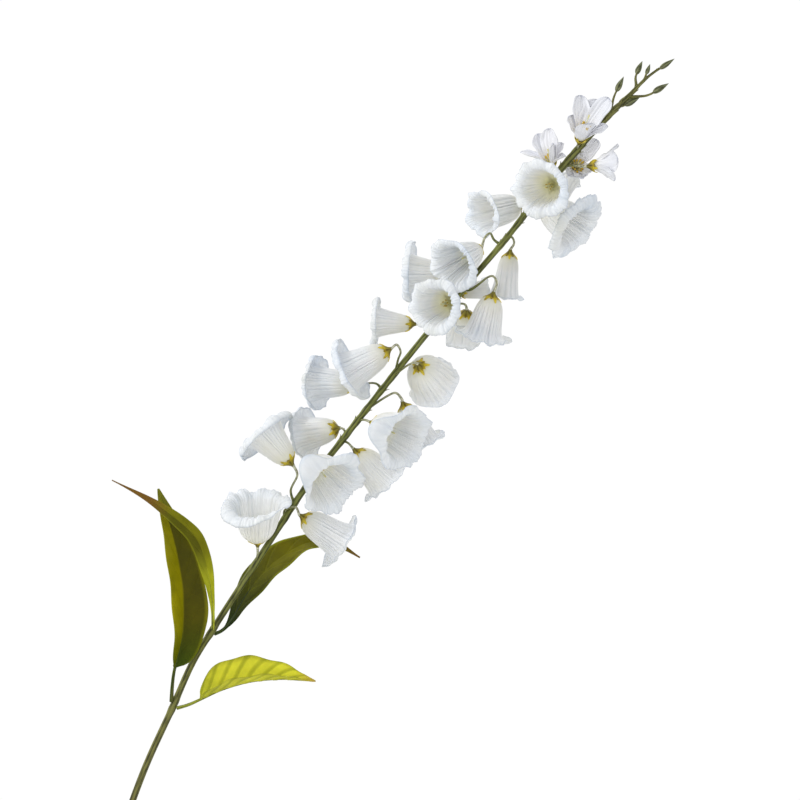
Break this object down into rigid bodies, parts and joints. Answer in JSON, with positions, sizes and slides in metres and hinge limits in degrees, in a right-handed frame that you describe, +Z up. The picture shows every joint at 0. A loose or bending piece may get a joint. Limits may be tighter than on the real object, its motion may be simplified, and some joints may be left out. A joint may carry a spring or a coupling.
{
  "type": "campanula spike in vase",
  "caption": "White bellflower spike with open bells, half-open blooms, buds and leaves, leaning in a plain turned stoneware vase of water.",
  "frame": {"origin": "centre of the vase's flat foot, on the surface that it stands on", "axes": "+X to the viewer's right, the side that the spike leans to; +Y away from the viewer; +Z up"},
  "size_m": [0.532, 0.1104, 0.817],
  "materials": {
    "stoneware": "satin",
    "water": "gloss",
    "stem": "satin",
    "petal": "matte",
    "leaf": "satin"
  },
  "bodies": {
    "root": {"vase": "stoneware", "water": "water", "stem": "stem", "bell_01": "petal", "bell_02": "petal", "bell_03": "petal", "bell_04": "petal", "bell_05": "petal", "bell_06": "petal", "bell_07": "petal", "bell_08": "petal", "bell_09": "petal", "bell_10": "petal", "bell_11": "petal", "bell_12": "petal", "bell_13": "petal", "bell_14": "petal", "bell_15": "petal", "bell_16": "petal", "bell_17": "petal", "bell_18": "petal", "bell_19": "petal", "bell_20": "petal", "bell_21": "petal", "bell_22": "petal", "bell_23": "petal", "bloom_01": "petal", "bloom_02": "petal", "bloom_03": "petal", "bloom_04": "petal", "leaf_01": "leaf", "leaf_02": "leaf", "leaf_03": "leaf", "leaf_04": "leaf"}
  },
  "joints": []
}
